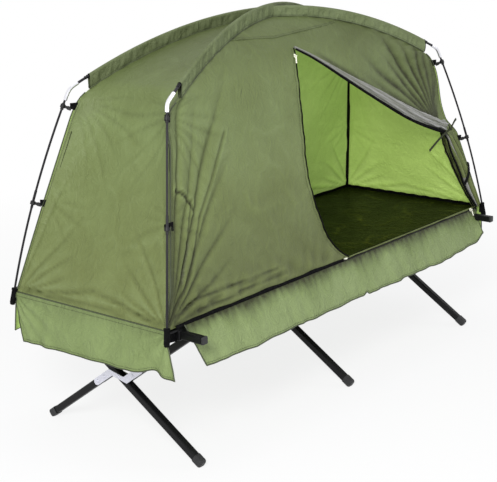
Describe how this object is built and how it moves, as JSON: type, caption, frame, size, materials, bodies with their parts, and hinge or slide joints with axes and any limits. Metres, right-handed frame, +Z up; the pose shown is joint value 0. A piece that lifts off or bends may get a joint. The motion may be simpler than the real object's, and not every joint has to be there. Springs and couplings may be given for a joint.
{
  "type": "tent cot",
  "caption": "Raised one-person tent cot: scissor-leg folding camp bed carrying a pole-framed canopy with a zipped door and wind skirts.",
  "frame": {"origin": "on the floor, under the middle of the bed", "axes": "+X along the bed, the door side faces -Y, +Z up"},
  "size_m": [1.9622, 0.844, 1.3512],
  "materials": {
    "black_tube": "satin",
    "grey_plastic": "matte",
    "silver_plate": "zinc plated",
    "silver_tube": "satin",
    "pole_rod": "satin",
    "canopy_cloth": "coated polyester",
    "flap_cloth": "coated polyester, light inner face",
    "floor_cloth": "glossy coated",
    "bed_cloth": "matte",
    "clip_plastic": "satin",
    "zip_metal": "satin"
  },
  "bodies": {
    "tent_and_near_rail": {"near_rail": "black_tube", "end_bar_left": "black_tube", "end_bar_right": "black_tube", "bar_plug_near_left": "grey_plastic", "bar_plug_far_left": "grey_plastic", "bar_plug_near_right": "grey_plastic", "bar_plug_far_right": "grey_plastic", "near_panel": "canopy_cloth", "far_panel": "canopy_cloth", "left_panel": "canopy_cloth", "right_panel": "canopy_cloth", "door_flap": "flap_cloth", "tent_floor": "floor_cloth", "bed_sling": "bed_cloth", "roof_pole_upper": "pole_rod", "roof_pole_lower": "pole_rod", "lower_pole_near_left": "pole_rod", "elbow_near_left": "silver_tube", "mid_clip_near_left": "clip_plastic", "top_clip_near_left": "clip_plastic", "sleeve_near_left": "canopy_cloth", "lower_pole_far_right": "pole_rod", "elbow_far_right": "silver_tube", "mid_clip_far_right": "clip_plastic", "top_clip_far_right": "clip_plastic", "sleeve_far_right": "canopy_cloth", "lower_pole_far_left": "pole_rod", "elbow_far_left": "silver_tube", "mid_clip_far_left": "clip_plastic", "top_clip_far_left": "clip_plastic", "sleeve_far_left": "canopy_cloth", "lower_pole_near_right": "pole_rod", "elbow_near_right": "silver_tube", "mid_clip_near_right": "clip_plastic", "top_clip_near_right": "clip_plastic", "sleeve_near_right": "canopy_cloth"},
    "broken_legs": {"upper_leg_left": "black_tube", "upper_leg_middle": "black_tube", "upper_leg_right": "black_tube", "lower_leg_left": "black_tube", "lower_leg_middle": "black_tube", "lower_leg_right": "black_tube", "cross_bracket_left": "silver_plate", "cross_bracket_middle": "silver_plate", "cross_bracket_right": "silver_plate", "foot_far_left": "grey_plastic", "foot_far_middle": "grey_plastic", "foot_far_right": "grey_plastic"},
    "straight_legs": {"straight_leg_left": "black_tube", "straight_leg_middle": "black_tube", "straight_leg_right": "black_tube", "foot_near_left": "grey_plastic", "foot_near_middle": "grey_plastic", "foot_near_right": "grey_plastic"},
    "far_side": {"far_rail": "black_tube"},
    "side_slider": {"side_zip_slider": "zip_metal"},
    "side_pull": {"side_zip_pull": "zip_metal"},
    "bottom_slider": {"bottom_zip_slider": "zip_metal"},
    "bottom_pull": {"bottom_zip_pull": "zip_metal"}
  },
  "joints": [
    {"name": "leg_fold", "type": "hinge", "parent": "tent_and_near_rail", "child": "broken_legs", "pos_m": [0, -0.312, 0.425], "axis": [-1, 0, 0], "range_deg": [0, 48]},
    {"name": "leg_scissor", "type": "hinge", "parent": "broken_legs", "child": "straight_legs", "pos_m": [0, 0, 0.22626], "axis": [1, 0, 0], "range_deg": [0, 96]},
    {"name": "far_rail_fold", "type": "hinge", "parent": "straight_legs", "child": "far_side", "pos_m": [0, 0.312, 0.425], "axis": [-1, 0, 0], "range_deg": [0, 48]},
    {"name": "side_zip", "type": "slide", "parent": "tent_and_near_rail", "child": "side_slider", "axis": [-0.1866, -0.246, -0.9511], "range_m": [0, 0.36]},
    {"name": "side_pull_swing", "type": "hinge", "parent": "side_slider", "child": "side_pull", "pos_m": [-0.07126, -0.15699, 1.18461], "axis": [-0.9824, 0.0467, 0.1806], "range_deg": [0, 150]},
    {"name": "bottom_zip", "type": "slide", "parent": "tent_and_near_rail", "child": "bottom_slider", "axis": [-1, 0, 0], "range_m": [0, 0.855]},
    {"name": "bottom_pull_swing", "type": "hinge", "parent": "bottom_slider", "child": "bottom_pull", "pos_m": [0.8499, -0.34156, 0.48455], "axis": [-1, 0, 0], "range_deg": [0, 150]}
  ],
  "couplings": [
    {"joint": "leg_scissor", "follows": "leg_fold", "ratio": 2},
    {"joint": "far_rail_fold", "follows": "leg_fold", "ratio": 1}
  ]
}
